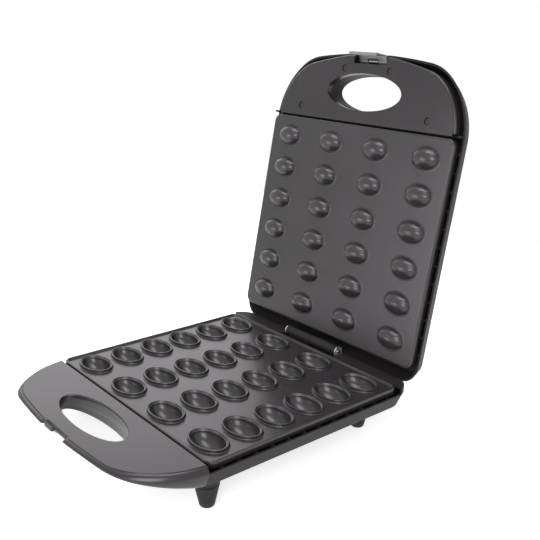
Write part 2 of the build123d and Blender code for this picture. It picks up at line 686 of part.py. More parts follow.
# Lid housing: knuckles, window and cheeks for the latch, holes for the lamps
lamp_spots = [(-LAMP_X, LAMP_Y), (LAMP_X, LAMP_Y)]
with BuildPart() as lid_shell:
    add(half_shell(UPPER, lid_boss_end))
    add(knuckle(KNUCKLE_ENDS[0], KNUCKLE_ENDS[1] - KNUCKLE_GAP, UPPER))
    add(knuckle(KNUCKLE_ENDS[2], KNUCKLE_ENDS[3], UPPER))
    for ends in ((KNUCKLE_ENDS[0], KNUCKLE_ENDS[1] - KNUCKLE_GAP), (KNUCKLE_ENDS[2], KNUCKLE_ENDS[3])):
        web = (HINGE_Y - WEB_HALF_WIDTH, REAR_Y - SHELL_WALL - 1)
        add(cuboid(UPPER, ends, web, (RIM_DEPTH, SHELL_DEPTH)))
    add(pin_bore.part, mode=Mode.SUBTRACT)
    cheek = LATCH_HALF_WIDTH + LATCH_SIDE_GAP
    add(
        cuboid(UPPER, (-cheek, cheek), (2 * WINDOW_BACK, WINDOW_BACK), (0, WINDOW_DEPTH)),
        mode=Mode.SUBTRACT,
    )
    for x in (-cheek - SHELL_WALL, cheek):
        add(
            cuboid(
                UPPER,
                (x, x + SHELL_WALL),
                (LATCH_PIVOT_Y - BARREL_RADIUS / 2, WINDOW_BACK),
                (RIM_DEPTH, SHELL_DEPTH - SHELL_WALL / 2),
            )
        )
    with BuildSketch(Plane.YZ.offset(-2 * cheek)):
        with Locations((LATCH_PIVOT_Y, LATCH_PIVOT_Z)):
            Circle(LATCH_PIN_DIAMETER / 2 + PIN_FIT)
    extrude(amount=4 * cheek, mode=Mode.SUBTRACT)
    add(column(UPPER, lamp_spots, 0, SHELL_DEPTH + 1, LENS_DIAMETER + SCREW_FIT), mode=Mode.SUBTRACT)
    add(
        column(UPPER, PANEL_SCREWS, COLLAR_DEPTH, COLLAR_DEPTH + 2 * SCREW_GRIP, SCREW_DIAMETER + SCREW_FIT),
        mode=Mode.SUBTRACT,
    )

# Lid grip panel: notch for the latch and four screw recesses
with BuildPart() as lid_handle_panel:
    add(grip_panel(UPPER))
    add(column(UPPER, PANEL_SCREWS, PANEL_DEPTH + PANEL_THICKNESS / 2, COLLAR_DEPTH, PANEL_POST + 2))
    add(column(UPPER, PANEL_SCREWS, 0, PANEL_DEPTH + SCREW_RECESS_DEPTH, SCREW_RECESS), mode=Mode.SUBTRACT)
    add(column(UPPER, PANEL_SCREWS, 0, COLLAR_DEPTH + 1, SCREW_DIAMETER + 2 * SCREW_FIT), mode=Mode.SUBTRACT)
    add(
        cuboid(UPPER, (-cheek, NOTCH_SIDE), (2 * WINDOW_BACK, WINDOW_BACK), (0, RIM_DEPTH)),
        mode=Mode.SUBTRACT,
    )

# Latch: blade with a hooked end, barrel halves either side of its spring
with BuildPart() as latch:
    inner_y = LATCH_OUTER_Y + LATCH_THICKNESS
    with BuildSketch(Plane.YZ.offset(-LATCH_HALF_WIDTH)):
        with BuildLine():
            Polyline(
                (LATCH_OUTER_Y, LATCH_END_Z),
                (inner_y + TOOTH_REACH, LATCH_END_Z),
                (inner_y + TOOTH_REACH, LATCH_END_Z + TOOTH_HEIGHT / 2),
                (inner_y, LATCH_END_Z + TOOTH_HEIGHT),
                (inner_y, LATCH_PIVOT_Z / 2),
                (LATCH_PIVOT_Y, LATCH_PIVOT_Z - LATCH_PIN_DIAMETER),
                (LATCH_PIVOT_Y, LATCH_PIVOT_Z + LATCH_PIN_DIAMETER),
                (LATCH_OUTER_Y + LATCH_THICKNESS / 2, LATCH_PIVOT_Z + LATCH_PIN_DIAMETER / 2),
                (LATCH_OUTER_Y, LATCH_PIVOT_Z - LATCH_PIN_DIAMETER),
                close=True,
            )
        make_face()
        with Locations((LATCH_PIVOT_Y, LATCH_PIVOT_Z)):
            Circle(LATCH_PIN_DIAMETER)
    extrude(amount=2 * LATCH_HALF_WIDTH)
    with BuildSketch(Plane.YZ.offset(-LATCH_HALF_WIDTH)):
        with Locations((LATCH_PIVOT_Y, LATCH_PIVOT_Z)):
            Circle(LATCH_PIN_DIAMETER / 2 + PIN_FIT)
    extrude(amount=2 * LATCH_HALF_WIDTH, mode=Mode.SUBTRACT)
    add(
        cuboid(
            UPPER,
            (-SPRING_LENGTH / 2 - 1, SPRING_LENGTH / 2 + 1),
            (LATCH_PIVOT_Y - LATCH_PIN_DIAMETER - 1, WINDOW_BACK),
            (LATCH_PIVOT_Z - LATCH_PIN_DIAMETER - 1, WINDOW_DEPTH),
        ),
        mode=Mode.SUBTRACT,
    )
    fillet(latch.edges().filter_by(Axis.X).group_by(Axis.Z)[0], 0.6)

with BuildPart() as latch_pin:
    with BuildSketch(Plane.YZ.offset(-cheek - SHELL_WALL)):
        with Locations((LATCH_PIVOT_Y, LATCH_PIVOT_Z)):
            Circle(LATCH_PIN_DIAMETER / 2)
    extrude(amount=2 * (cheek + SHELL_WALL))

with BuildPart() as latch_spring:
    with BuildSketch(Plane.YZ.offset(-SPRING_LENGTH / 2)):
        with Locations((LATCH_PIVOT_Y, LATCH_PIVOT_Z)):
            Circle(SPRING_DIAMETER / 2)
            Circle(LATCH_PIN_DIAMETER / 2 + PIN_FIT, mode=Mode.SUBTRACT)
    extrude(amount=SPRING_LENGTH)

# Hinge pin and its clips
with BuildPart() as hinge_pin:
    with BuildSketch(Plane.YZ.offset(KNUCKLE_ENDS[0] - PIN_OVERHANG)):
        with Locations((HINGE_Y, 0)):
            Circle(PIN_DIAMETER / 2)
    extrude(amount=KNUCKLE_ENDS[4] - KNUCKLE_ENDS[0] + 2 * PIN_OVERHANG)

with BuildPart() as hinge_clips:
    for x in (KNUCKLE_ENDS[0] - CLIP_THICKNESS, KNUCKLE_ENDS[4]):
        with BuildSketch(Plane.YZ.offset(x)):
            with Locations((HINGE_Y, 0)):
                Circle(BARREL_RADIUS)
                Circle(PIN_DIAMETER / 2, mode=Mode.SUBTRACT)
                mouth = 0.8 * PIN_DIAMETER
                Rectangle(mouth, BARREL_DIAMETER, align=(Align.CENTER, Align.MIN), mode=Mode.SUBTRACT)
        extrude(amount=CLIP_THICKNESS)

# Feet, their soft tips and their screws
pad_top = STAND_HEIGHT - PAD_HEIGHT
foot_seat = BELLY_DEPTH + PAD_HEIGHT


def cone_radius(depth):
    """Radius of a foot's cone at a depth."""
    return FOOT_TOP_DIAMETER / 2 - (depth - SHELL_DEPTH) * math.tan(math.radians(foot_taper))


feet = {}
for name, spot in FEET.items():
    with BuildPart() as foot:
        with BuildSketch(level(LOWER, BELLY_DEPTH)):
            with Locations(spot):
                Circle(cone_radius(BELLY_DEPTH))
        extrude(amount=BELLY_DEPTH - pad_top, taper=foot_taper)
        add(column(LOWER, [spot], foot_seat, pad_top + 1, SCREW_RECESS + 1), mode=Mode.SUBTRACT)
        add(column(LOWER, [spot], 0, pad_top, SCREW_DIAMETER + 2 * SCREW_FIT), mode=Mode.SUBTRACT)
    with BuildPart() as pad:
        with BuildSketch(level(LOWER, pad_top)):
            with Locations(spot):
                Circle(cone_radius(pad_top))
        extrude(amount=-PAD_HEIGHT, taper=foot_taper)
        fillet(pad.edges().group_by(Axis.Z)[0], PAD_ROUND)
        add(column(LOWER, [spot], pad_top - PAD_HEIGHT / 2, pad_top, SCREW_RECESS + 1 - 2 * SCREW_FIT))
    feet[name] = foot
    feet[name.replace("foot", "pad")] = pad

with BuildPart() as foot_screws:
    add(screws(LOWER, FEET.values(), foot_seat, SHELL_DEPTH))

# Heating of both halves: element, straps, tray and the screws that hold each plate
with BuildPart() as base_heater:
    add(heater(LOWER, BASE_BACK))

with BuildPart() as lid_heater:
    add(heater(UPPER, LID_BACK))

with BuildPart() as base_heater_clamps:
    add(heater_clamps(LOWER, BASE_BACK))

with BuildPart() as lid_heater_clamps:
    add(heater_clamps(UPPER, LID_BACK))

with BuildPart() as base_reflector:
    add(reflector(LOWER, base_boss_end))

with BuildPart() as lid_reflector:
    add(reflector(UPPER, lid_boss_end))

with BuildPart() as base_plate_screws:
    add(screws(LOWER, PLATE_SCREWS, SCREW_SEAT_DEPTH, base_boss_end - SCREW_GRIP + 1))

with BuildPart() as lid_plate_screws:
    add(screws(UPPER, PLATE_SCREWS, SCREW_SEAT_DEPTH, lid_boss_end - SCREW_GRIP + 1))

with BuildPart() as lid_panel_screws:
    add(screws(UPPER, PANEL_SCREWS, PANEL_DEPTH + SCREW_RECESS_DEPTH, COLLAR_DEPTH + SCREW_GRIP))

# Control: thermostat and thermal fuse against the lower plate
with BuildPart() as thermostat:
    with BuildSketch(level(LOWER, BASE_BACK)):
        RectangleRounded(THERMOSTAT_DIAMETER / 2, 2 * THERMOSTAT_DIAMETER, THERMOSTAT_DIAMETER / 5)
    extrude(amount=-CLAMP_SHEET)
    with BuildSketch(level(LOWER, BASE_BACK)):
        Circle(THERMOSTAT_DIAMETER / 2)
    extrude(amount=-THERMOSTAT_HEIGHT)
    with BuildSketch(level(LOWER, BASE_BACK + THERMOSTAT_HEIGHT)):
        with GridLocations(THERMOSTAT_DIAMETER / 2, 0, 2, 1):
            Rectangle(CLAMP_SHEET, THERMOSTAT_DIAMETER / 3)
    extrude(amount=-CLAMP_SHEET)

with BuildPart() as thermal_fuse:
    with BuildSketch(Plane.YZ.offset(-FUSE_LENGTH / 2)):
        with Locations((-ROW_PITCH, -BASE_BACK - FUSE_DIAMETER / 2)):
            Circle(FUSE_DIAMETER / 2)
    extrude(amount=FUSE_LENGTH)
    with BuildSketch(Plane.YZ.offset(-CLAMP_SHEET)):
        with Locations((-ROW_PITCH, -BASE_BACK - FUSE_DIAMETER / 2)):
            Rectangle(FUSE_DIAMETER + 2 * CLAMP_SHEET, FUSE_DIAMETER)
    extrude(amount=2 * CLAMP_SHEET)

# Connections and the inlet bush of the supply lead
with BuildPart() as base_terminal_block:
    add(terminal_block(LOWER))

with BuildPart() as lid_terminal_block:
    add(terminal_block(UPPER))

with BuildPart() as base_wiring:
    add(leads(LOWER, BASE_BACK))

with BuildPart() as lid_wiring:
    add(leads(UPPER, LID_BACK))

with BuildPart() as cord_gland:
    with BuildSketch(gland_plane):
        Circle(GLAND_DIAMETER / 2)
    extrude(amount=DECK_FRONT - 1 - gland_plane.origin.Y)
    with BuildSketch(gland_plane):
        Circle(GLAND_DIAMETER / 2 + SHELL_WALL)
    extrude(amount=SHELL_WALL)
    fillet(cord_gland.edges().group_by(Axis.Y)[-1], SHELL_WALL / 2)
    with BuildSketch(gland_plane):
        Circle(GLAND_DIAMETER / 2 - SHELL_WALL)
    extrude(amount=REAR_Y, both=True, mode=Mode.SUBTRACT)

# Indicator lamps in the outer face of the lid's grip: lenses with a lamp plugged into each
lenses = []
for spot in lamp_spots:
    with BuildPart() as lens:
        add(column(UPPER, [spot], SHELL_DEPTH, SHELL_DEPTH + LENS_HEAD, LENS_DIAMETER + 2 * LENS_HEAD))
        fillet(lens.edges().group_by(Axis.Z)[-1], LENS_HEAD * 0.8)
        add(column(UPPER, [spot], SHELL_DEPTH - LENS_DIAMETER, SHELL_DEPTH, LENS_DIAMETER))
        add(
            column(UPPER, [spot], SHELL_DEPTH - LENS_DIAMETER, SHELL_DEPTH - LENS_HEAD / 2, LAMP_DIAMETER),
            mode=Mode.SUBTRACT,
        )
    lenses.append(lens)
power_lamp_lens, ready_lamp_lens = lenses

with BuildPart() as indicator_lamps:
    add(column(UPPER, lamp_spots, SHELL_DEPTH - LAMP_LENGTH, SHELL_DEPTH - LENS_HEAD / 2, LAMP_DIAMETER))

# Pieces of the lower half and of the lid, which is written swung open about the hinge
lower_pieces = {
    "base_shell": base_shell,
    "base_handle_panel": base_handle_panel,
    "catch": catch,
    "base_plate": base_plate,
    "base_plate_screws": base_plate_screws,
    "base_heater": base_heater,
    "base_heater_clamps": base_heater_clamps,
    "base_reflector": base_reflector,
    "thermostat": thermostat,
    "thermal_fuse": thermal_fuse,
    "base_terminal_block": base_terminal_block,
    "base_wiring": base_wiring,
    "cord_gland": cord_gland,
    "hinge_pin": hinge_pin,
    "hinge_clips": hinge_clips,
    "foot_screws": foot_screws,
    **feet,
}
lid_pieces = {
    "lid_shell": lid_shell,
    "lid_handle_panel": lid_handle_panel,
    "lid_plate": lid_plate,
    "lid_plate_screws": lid_plate_screws,
    "lid_panel_screws": lid_panel_screws,
    "lid_heater": lid_heater,
    "lid_heater_clamps": lid_heater_clamps,
    "lid_reflector": lid_reflector,
    "lid_terminal_block": lid_terminal_block,
    "lid_wiring": lid_wiring,
    "power_lamp_lens": power_lamp_lens,
    "ready_lamp_lens": ready_lamp_lens,
    "indicator_lamps": indicator_lamps,
    "latch": latch,
    "latch_pin": latch_pin,
    "latch_spring": latch_spring,
}
opened = Pos(0, HINGE_Y, 0) * Rot(-OPEN_ANGLE, 0, 0) * Pos(0, -HINGE_Y, 0)

# The origin is on the worktop, midway between the foremost and the rearmost point of the open maker
front_y = min(piece.part.bounding_box().min.Y for piece in lower_pieces.values())
rear_y = max((opened * piece.part).bounding_box().max.Y for piece in lid_pieces.values())
stand = Pos(0, -(front_y + rear_y) / 2, STAND_HEIGHT)

os.makedirs("parts", exist_ok=True)
for name, piece in lower_pieces.items():
    piece.part = stand * piece.part
    piece.part.label = name
    export_step(piece.part, f"parts/{name}.step")
for name, piece in lid_pieces.items():
    piece.part = stand * opened * piece.part
    piece.part.label = name
    export_step(piece.part, f"parts/{name}.step")
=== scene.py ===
import math

import bmesh
import bpy
from mathutils import Matrix, Vector, noise


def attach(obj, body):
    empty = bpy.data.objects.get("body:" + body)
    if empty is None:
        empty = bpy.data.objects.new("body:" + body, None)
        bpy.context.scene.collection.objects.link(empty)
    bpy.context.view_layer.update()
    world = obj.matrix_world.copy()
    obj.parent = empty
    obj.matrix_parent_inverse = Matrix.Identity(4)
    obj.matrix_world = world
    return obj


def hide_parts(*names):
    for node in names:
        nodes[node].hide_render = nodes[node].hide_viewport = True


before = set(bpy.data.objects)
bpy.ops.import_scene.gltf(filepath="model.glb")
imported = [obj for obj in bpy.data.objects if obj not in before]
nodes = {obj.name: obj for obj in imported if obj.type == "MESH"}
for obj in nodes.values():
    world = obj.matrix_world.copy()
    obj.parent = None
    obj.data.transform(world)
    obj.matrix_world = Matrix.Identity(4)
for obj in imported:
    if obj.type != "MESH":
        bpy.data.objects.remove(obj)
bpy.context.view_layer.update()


# Feet: four tall tapered feet moulded in the same charcoal plastic as the housing. Each is held by a steel
# screw from inside, and ends in a soft rubber pad that grips the worktop.
def make_grain():
    """Fine bumps, a fine speck and a broad blotch, which every finish shares."""
    group = bpy.data.node_groups.new("surface_grain", "ShaderNodeTree")
    group.interface.new_socket("Vector", in_out="INPUT", socket_type="NodeSocketVector")
    group.interface.new_socket("Scale", in_out="INPUT", socket_type="NodeSocketFloat")
    group.interface.new_socket("Depth", in_out="INPUT", socket_type="NodeSocketFloat")
    group.interface.new_socket("Normal", in_out="OUTPUT", socket_type="NodeSocketVector")
    group.interface.new_socket("Speck", in_out="OUTPUT", socket_type="NodeSocketFloat")
    group.interface.new_socket("Blotch", in_out="OUTPUT", socket_type="NodeSocketFloat")
    tree, links = group.nodes, group.links
    source = tree.new("NodeGroupInput")
    out = tree.new("NodeGroupOutput")
    fine = tree.new("ShaderNodeTexNoise")
    fine.inputs["Detail"].default_value = 3.0
    broad = tree.new("ShaderNodeTexNoise")
    broad.inputs["Scale"].default_value = 22.0
    broad.inputs["Detail"].default_value = 4.0
    bump = tree.new("ShaderNodeBump")
    bump.inputs["Distance"].default_value = 0.0004
    links.new(source.outputs["Vector"], fine.inputs["Vector"])
    links.new(source.outputs["Vector"], broad.inputs["Vector"])
    links.new(source.outputs["Scale"], fine.inputs["Scale"])
    links.new(source.outputs["Depth"], bump.inputs["Strength"])
    links.new(fine.outputs["Fac"], bump.inputs["Height"])
    links.new(bump.outputs["Normal"], out.inputs["Normal"])
    links.new(fine.outputs["Fac"], out.inputs["Speck"])
    links.new(broad.outputs["Fac"], out.inputs["Blotch"])
    return group


surface_grain = make_grain()


def finish(name, dark, light, roughness, scale, depth, metallic=0.0, specular=0.5, coat=0.0):
    """Finish whose colour runs from dark to light with speck and blotch, and whose gloss varies a little."""
    material = bpy.data.materials.new(name)
    material.use_nodes = True
    tree, links = material.node_tree.nodes, material.node_tree.links
    shader = tree["Principled BSDF"]
    shader.inputs["Metallic"].default_value = metallic
    shader.inputs["Specular IOR Level"].default_value = specular
    shader.inputs["Coat Weight"].default_value = coat
    shader.inputs["Coat Roughness"].default_value = 0.12
    place = tree.new("ShaderNodeTexCoord")
    grain = tree.new("ShaderNodeGroup")
    grain.node_tree = surface_grain
    grain.inputs["Scale"].default_value = scale
    grain.inputs["Depth"].default_value = depth
    links.new(place.outputs["Object"], grain.inputs["Vector"])
    half_blotch = tree.new("ShaderNodeMath")
    half_blotch.operation = "MULTIPLY"
    half_blotch.inputs[1].default_value = 0.5
    links.new(grain.outputs["Blotch"], half_blotch.inputs[0])
    both = tree.new("ShaderNodeMath")
    both.operation = "MULTIPLY_ADD"
    both.inputs[1].default_value = 0.5
    links.new(grain.outputs["Speck"], both.inputs[0])
    links.new(half_blotch.outputs["Value"], both.inputs[2])
    tone = tree.new("ShaderNodeMix")
    tone.data_type = "RGBA"
    tone.inputs["A"].default_value = (*dark, 1.0)
    tone.inputs["B"].default_value = (*light, 1.0)
    links.new(both.outputs["Value"], tone.inputs["Factor"])
    links.new(tone.outputs["Result"], shader.inputs["Base Color"])
    gloss = tree.new("ShaderNodeMapRange")
    gloss.inputs["To Min"].default_value = roughness * 0.85
    gloss.inputs["To Max"].default_value = roughness * 1.2
    links.new(grain.outputs["Blotch"], gloss.inputs["Value"])
    links.new(gloss.outputs["Result"], shader.inputs["Roughness"])
    links.new(grain.outputs["Normal"], shader.inputs["Normal"])
    return material


def grey(value, warm=0.0):
    """Grey with a touch of purple-red warmth."""
    return (value * (1 + warm), value, value * (1 + warm * 0.8))


def dress(material, *names):
    """Gives the named pieces their finish."""
    for name in names:
        nodes[name].data.materials.clear()
        nodes[name].data.materials.append(material)


moulded_housing = finish(
    "moulded_housing", grey(0.014, 0.08), grey(0.024, 0.08), 0.52, 2600.0, 0.16, specular=0.14
)
zinc_steel = finish("zinc_steel", grey(0.3), grey(0.42), 0.34, 1800.0, 0.1, 1.0)
dress(moulded_housing, "front_foot_left", "front_foot_right", "rear_foot_left", "rear_foot_right")
dress(
    finish("pad_rubber", grey(0.006), grey(0.01), 0.62, 2200.0, 0.3),
    "front_pad_left", "front_pad_right", "rear_pad_left", "rear_pad_right",
)
dress(zinc_steel, "foot_screws")

# Inside of both halves: a bent heating element pressed on each plate's back by steel straps, over a bright
# sheet screen, with the thermostat, the cut-out, glazed terminal blocks and sleeved leads. The supply cord
# would enter by the rubber gland in the rear wall.
dress(
    finish("heater_sheath", grey(0.16, 0.1), grey(0.26, 0.06), 0.5, 1200.0, 0.25, 1.0),
    "base_heater", "lid_heater",
)
dress(
    finish("reflector_sheet", grey(0.6), grey(0.72), 0.28, 900.0, 0.1, 1.0),
    "base_reflector", "lid_reflector",
)
dress(finish("control_body", grey(0.4), grey(0.5), 0.36, 1500.0, 0.1, 1.0), "thermostat", "thermal_fuse")
dress(
    finish("terminal_ceramic", (0.6, 0.57, 0.5), (0.72, 0.7, 0.62), 0.3, 700.0, 0.1),
    "base_terminal_block", "lid_terminal_block",
)
dress(
    finish("lead_sleeve", (0.45, 0.43, 0.4), (0.58, 0.56, 0.52), 0.6, 3000.0, 0.4),
    "base_wiring", "lid_wiring",
)
dress(finish("gland_rubber", grey(0.01), grey(0.016), 0.6, 2200.0, 0.3), "cord_gland")
dress(zinc_steel, "base_heater_clamps", "lid_heater_clamps", "base_plate_screws", "lid_plate_screws")

# Lower plate: one aluminium casting under a dark non-stick coating, screwed down from inside. A low bead
# runs round its edge, and each of the 24 cavities is half a walnut, with ridges and a seam of its own, under
# a raised ring. It is drawn closed, in millimetres from the middle of the cavities at the parting plane.
MM = 0.001
STAND = 51.0
SHIFT_Y = -10.2451
COLUMNS = (-93.0, -31.0, 31.0, 93.0)
ROW_PITCH = 34.15
ROWS = tuple(ROW_PITCH * (row - 2.5) for row in range(6))
OVAL_STEPS = 72
EGG_HALF = (18.3, 11.7, 12.5)
EGG_LOOPS = 22
EGG_SWEEP = 84.0
LOOP_CROWDING = 0.9
RING_HALF = (20.7, 14.1)
PLATE_FACE = -2.8
PLATE_RIGHT, PLATE_FRONT, PLATE_BACK = 122.0, -106.0, 107.6
PLATE_CORNER = 8.0
CORNER_STEPS = 8
SKIRT_END = -7.8
RIDGE_COUNT = 26.0
RIDGE_HEIGHT = 0.035
SEAM_HALF_WIDTH = 0.6
SEAM_HEIGHT = 0.3
lower_place = Matrix.Translation((0, SHIFT_Y, STAND))
cast_coating = finish("cast_coating", grey(0.018, 0.08), grey(0.028, 0.08), 0.28, 1500.0, 0.05)


def row_edges(bm, row, closed=True):
    """Edges along a row of vertices, made where they are missing."""
    pairs = list(zip(row, row[1:])) + ([(row[-1], row[0])] if closed else [])
    return [bm.edges.get(pair) or bm.edges.new(pair) for pair in pairs]


def draw_out(bm, row, loops, closed=True):
    """Extrudes a row of vertices step by step, and moves each new one to its place."""
    for places in loops:
        made = bmesh.ops.extrude_edge_only(bm, edges=row_edges(bm, row, closed))
        fresh = {part for part in made["geom"] if isinstance(part, bmesh.types.BMVert)}
        row = [
            next(edge.other_vert(vert) for edge in vert.link_edges if edge.other_vert(vert) in fresh)
            for vert in row
        ]
        for vert, place in zip(row, places):
            vert.co = place
        for part in made["geom"]:
            if isinstance(part, bmesh.types.BMFace):
                part.smooth = True
    return row


def skin(bm, loops, closed=True):
    """Skin over a row of loops. Returns its first and its last row of vertices."""
    first = [bm.verts.new(place) for place in loops[0]]
    return first, draw_out(bm, first, loops[1:], closed)


def oval(half_length, half_width, height, middle_y=0.0):
    """Points of a level ellipse."""
    turns = [math.tau * i / OVAL_STEPS for i in range(OVAL_STEPS)]
    return [Vector((half_length * math.cos(t), middle_y + half_width * math.sin(t), height)) for t in turns]


def half_walnut(half, sweep, count, rim, drop=0.0):
    """Mesh of half an egg with its rim, and the number of the egg's own vertices."""
    angles = [math.radians(90 - sweep * (i / count) ** LOOP_CROWDING) for i in range(1, count + 1)]
    loops = [oval(half[0] * math.cos(a), half[1] * math.cos(a), half[2] * math.sin(a)) for a in angles]
    bm = bmesh.new()
    disc = bmesh.ops.create_circle(bm, cap_ends=True, cap_tris=True, segments=OVAL_STEPS, radius=1.0)["verts"]
    row = sorted(disc, key=lambda vert: round(math.atan2(vert.co.y, vert.co.x), 4) % math.tau)
    middle = min(disc, key=lambda vert: vert.co.length)
    row.remove(middle)
    middle.co = (0, 0, half[2])
    for face in bm.faces:
        face.smooth = True
    for vert, place in zip(row, loops[0]):
        vert.co = place
    row = draw_out(bm, row, loops[1:])
    own = len(bm.verts)
    draw_out(bm, row, [oval(length, width, height + drop) for length, width, height in rim])
    mesh = bpy.data.meshes.new("half_walnut")
    bm.to_mesh(mesh)
    bm.free()
    return mesh, own


def wrinkle(x, y, z, seed, seam_at=0.0, ridge=RIDGE_HEIGHT):
    """Height of the walnut's relief at a point of the egg: fine ridges from end to end, and a narrow seam."""
    around = math.atan2(y, abs(z) + 0.4)
    wander = noise.noise(Vector((x * 0.12, around * 1.5, seed * 3.7)))
    fine = noise.noise(Vector((x * 0.35, around * 6.0, seed * 9.1)))
    ridges = math.sin(around * RIDGE_COUNT + wander * 4.0 + fine * 0.8)
    seam = math.exp(-(((y - seam_at) / SEAM_HALF_WIDTH) ** 2)) * min(1.0, max(0.0, (x + 7.0) / 5.0))
    return ridge * (ridges * (1 - seam) + fine) + SEAM_HEIGHT * seam


def add_walnuts(bm, mesh, own, half, swell, plain, first_seed, **relief):
    """Half walnut at each place of the plate, with relief that fades out at the height of the plain rim."""
    for column, x in enumerate(COLUMNS):
        for row, y in enumerate(ROWS):
            start = len(bm.verts)
            bm.from_mesh(mesh)
            bm.verts.ensure_lookup_table()
            for vert in bm.verts[start : start + own]:
                fade = min(1.0, (abs(vert.co.z) - plain) / 2.0)
                if fade > 0:
                    outward = Vector([part / reach**2 for part, reach in zip(vert.co, half)]).normalized()
                    height = wrinkle(*vert.co, first_seed + column * 7 + row, **relief)
                    vert.co += outward * (swell - height) * fade
            bmesh.ops.translate(bm, vec=(x, y, 0), verts=bm.verts[start:])
    bpy.data.meshes.remove(mesh)


def plate_loop(inset, height):
    """Points of the plates' rounded outline."""
    corner = PLATE_CORNER - inset
    right, front, back = PLATE_RIGHT - PLATE_CORNER, PLATE_FRONT + PLATE_CORNER, PLATE_BACK - PLATE_CORNER
    points = []
    for turn, (x, y) in enumerate(((right, back), (-right, back), (-right, front), (right, front))):
        for i in range(CORNER_STEPS + 1):
            angle = (turn + i / CORNER_STEPS) * math.pi / 2
            points.append(Vector((x + corner * math.cos(angle), y + corner * math.sin(angle), height)))
    return points


def close_plate(bm, face_height, edge):
    """Edge and skirt of a plate, and its flat face between the walnuts."""
    skin(bm, [plate_loop(inset, height) for inset, height in edge])
    level = [part for part in bm.edges if part.is_boundary and abs(part.verts[0].co.z - face_height) < 0.01]
    bmesh.ops.triangle_fill(bm, use_beauty=True, edges=level)
    bmesh.ops.recalc_face_normals(bm, faces=bm.faces)


def to_object(bm, name, place, body, material):
    """Moves the finished mesh into the frame, in metres, and lets it ride on its body."""
    bmesh.ops.transform(bm, matrix=Matrix.Scale(MM, 4) @ place, verts=bm.verts)
    mesh = bpy.data.meshes.new(name)
    bm.to_mesh(mesh)
    bm.free()
    if "custom_normal" in mesh.attributes:
        mesh.attributes.remove(mesh.attributes["custom_normal"])
    mesh.materials.append(material)
    piece = bpy.data.objects.new(name, mesh)
    bpy.context.scene.collection.objects.link(piece)
    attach(piece, body)
    return piece


# Each ring's section, as its growth past RING_HALF and its height: inner ledge, crest, then outer foot
ring_profile = (
    (-2.3, -1.2), (-1.75, -1.15), (-1.6, -1.0), (-1.5, -0.5), (-1.35, -0.15), (-1.1, 0.0), (-0.45, 0.0),
    (-0.2, -0.08), (-0.03, -0.35), (0.0, -0.7), (0.05, -2.1), (0.2, -2.5), (0.5, -2.74), (1.0, PLATE_FACE),
)
bead_profile = (
    (3.4, PLATE_FACE), (2.8, -2.7), (2.5, -2.4), (2.35, -1.6), (2.1, -1.2), (1.6, -1.02), (1.1, -1.0),
    (0.6, -1.04), (0.2, -1.25), (0.0, -1.8), (0.0, SKIRT_END), (2.9, SKIRT_END),
)
hollow = (EGG_HALF[0], EGG_HALF[1], -EGG_HALF[2])
ring = [(RING_HALF[0] + grow, RING_HALF[1] + grow, height) for grow, height in ring_profile]
bm = bmesh.new()
cavity = half_walnut(hollow, EGG_SWEEP, EGG_LOOPS, ring)
add_walnuts(bm, *cavity, hollow, swell=0.0, plain=1.0, first_seed=0)
close_plate(bm, PLATE_FACE, bead_profile)
base_casting = to_object(bm, "base_casting", lower_place, "base", cast_coating)
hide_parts("base_plate")
dress(cast_coating, "base_plate", "lid_plate")

# Lid's plate: a casting with the same coating, screwed to the lid from inside. Its edge is rounded, and its
# 24 domes, each with a groove round its foot, hang into the cavities below. Drawn face up and turned over.
HINGE_Y = 118.9
OPEN_ANGLE = math.radians(100.88)
DOME_HALF = (15.84, 10.25, 10.25)
DOME_LOOPS = 16
DOME_SWEEP = 70.0
DOME_DROP = 2.55
DOME_SWELL = 0.1
DOME_PLAIN = 3.2
DOME_SEED = 50
DOME_SEAM = -3.0
DOME_RIDGE = 0.01
DOME_FOOT = (15.45, 10.0)
LID_FACE = -0.3
open_turn = Matrix.Rotation(-OPEN_ANGLE, 4, "X")
hinge_place = Matrix.Translation((0, HINGE_Y, 0))
upper_place = lower_place @ hinge_place @ open_turn @ hinge_place.inverted()
foot_profile = (
    (-0.35, 0.4), (-0.05, -0.35), (0.15, -0.5), (0.45, -0.5), (0.65, -0.35), (0.85, -0.15), (1.2, -0.1),
    (1.6, -0.17), (2.0, LID_FACE),
)
rounded_profile = (
    (1.9, LID_FACE), (1.3, -0.36), (0.75, -0.58), (0.35, -0.95), (0.1, -1.4), (0.0, -1.9), (0.0, SKIRT_END),
    (2.9, SKIRT_END),
)
foot = [(DOME_FOOT[0] + grow, DOME_FOOT[1] + grow, height) for grow, height in foot_profile]
bm = bmesh.new()
dome = half_walnut(DOME_HALF, DOME_SWEEP, DOME_LOOPS, foot, DOME_DROP)
add_walnuts(
    bm, *dome, DOME_HALF, DOME_SWELL, DOME_PLAIN, DOME_SEED, seam_at=DOME_SEAM, ridge=DOME_RIDGE
)
bmesh.ops.translate(bm, vec=(0, 0, -DOME_DROP), verts=bm.verts)
close_plate(bm, LID_FACE, rounded_profile)
bmesh.ops.reverse_faces(bm, faces=bm.faces)
turned_over = upper_place @ Matrix.Diagonal((1, 1, -1, 1))
lid_casting = to_object(bm, "lid_casting", turned_over, "lid", cast_coating)
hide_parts("lid_plate")

